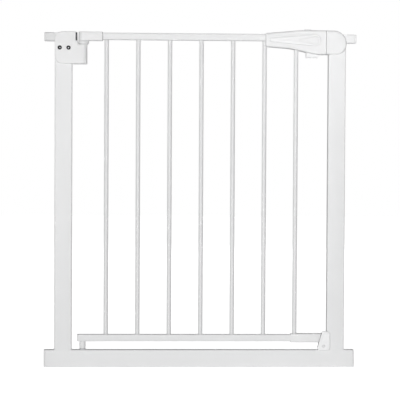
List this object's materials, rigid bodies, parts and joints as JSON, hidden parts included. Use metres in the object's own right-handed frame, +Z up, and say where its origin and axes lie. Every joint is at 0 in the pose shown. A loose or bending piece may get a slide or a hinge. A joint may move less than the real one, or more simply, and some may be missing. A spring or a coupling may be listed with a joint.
{
  "type": "pressure-fit safety gate",
  "caption": "White tubular safety gate: rectangular U-frame, barred swing door on a self-closing lift-off hinge, squeeze handle latch and turning bottom door stop.",
  "frame": {"origin": "middle of the base rail's underside, on the floor", "axes": "+X to the latch side, -Y the front the handle panel faces, +Z up"},
  "size_m": [0.716, 0.032, 0.7784],
  "materials": {
    "white_paint": "white powder coat",
    "white_plastic": "satin moulded",
    "grey_plastic": "satin moulded",
    "black_steel": "black oxide",
    "zinc_steel": "zinc plated"
  },
  "bodies": {
    "frame": {"base_rail": "white_paint", "left_upright": "white_paint", "right_upright": "white_paint", "left_stub": "white_paint", "right_stub": "white_paint", "top_left_plug": "white_plastic", "top_right_plug": "white_plastic", "bottom_left_plug": "white_plastic", "bottom_right_plug": "white_plastic", "top_left_nut": "zinc_steel", "top_right_nut": "zinc_steel", "bottom_left_nut": "zinc_steel", "bottom_right_nut": "zinc_steel", "hinge_housing_front": "white_plastic", "hinge_housing_rear": "white_plastic", "hinge_screw_outer": "black_steel", "hinge_screw_inner": "black_steel", "hinge_nut_outer": "zinc_steel", "hinge_nut_inner": "zinc_steel", "hinge_collar": "white_plastic", "closing_spring": "zinc_steel", "base_bush": "grey_plastic", "latch_housing_front": "white_plastic", "latch_housing_rear": "white_plastic", "latch_screw_inner": "zinc_steel", "latch_screw_outer": "zinc_steel", "stop_block": "white_plastic", "stop_screw": "zinc_steel"},
    "stop_plate": {"door_stop": "white_plastic"},
    "hinge_pins": {"upper_hinge_pin": "zinc_steel", "lower_hinge_pin": "zinc_steel"},
    "door": {"top_rail": "white_paint", "bottom_rail": "white_paint", "bar_1": "white_paint", "bar_2": "white_paint", "bar_3": "white_paint", "bar_4": "white_paint", "bar_5": "white_paint", "bar_6": "white_paint", "bar_7": "white_paint", "hinge_cap": "white_plastic", "cap_screw": "zinc_steel", "bottom_rail_plug": "white_plastic", "pivot_bush": "grey_plastic", "bottom_sleeve": "white_plastic", "top_rail_plug": "grey_plastic", "handle_front": "white_plastic", "handle_rear": "white_plastic", "handle_panel": "white_plastic", "panel_insert": "white_plastic", "handle_screw_left": "zinc_steel", "handle_screw_lower": "zinc_steel", "handle_screw_upper": "zinc_steel", "bolt_spring": "zinc_steel", "thumb_spring": "zinc_steel"},
    "trigger": {"squeeze_trigger": "white_plastic"},
    "bolt": {"latch_bolt": "grey_plastic"},
    "thumb": {"thumb_slide": "grey_plastic"}
  },
  "joints": [
    {"name": "door_lift", "type": "slide", "parent": "frame", "child": "hinge_pins", "axis": [0, 0, 1], "range_m": [0, 0.01]},
    {"name": "door_swing", "type": "hinge", "parent": "hinge_pins", "child": "door", "pos_m": [-0.269, 0, 0.7392], "axis": [0, 0, 1], "range_deg": [0, 90], "stiffness_Nm_per_rad": 0.6, "springref_deg": -20.05},
    {"name": "thumb_push", "type": "slide", "parent": "door", "child": "thumb", "axis": [-1, 0, 0], "range_m": [0, 0.006], "stiffness_N_per_m": 60, "springref_m": -0.004, "deforming": ["thumb_spring"]},
    {"name": "trigger_squeeze", "type": "slide", "parent": "door", "child": "trigger", "axis": [0, 0, 1], "range_m": [0, 0.0055]},
    {"name": "bolt_draw", "type": "slide", "parent": "door", "child": "bolt", "axis": [-1, 0, 0], "range_m": [0, 0.0055], "stiffness_N_per_m": 250, "springref_m": -0.004, "deforming": ["bolt_spring"]},
    {"name": "stop_turn", "type": "hinge", "parent": "frame", "child": "stop_plate", "pos_m": [0.2868, -0.0106, 0.049], "axis": [0, 1, 0], "range_deg": [0, 90]}
  ],
  "couplings": [
    {"joint": "bolt_draw", "follows": "trigger_squeeze", "ratio": 1}
  ]
}
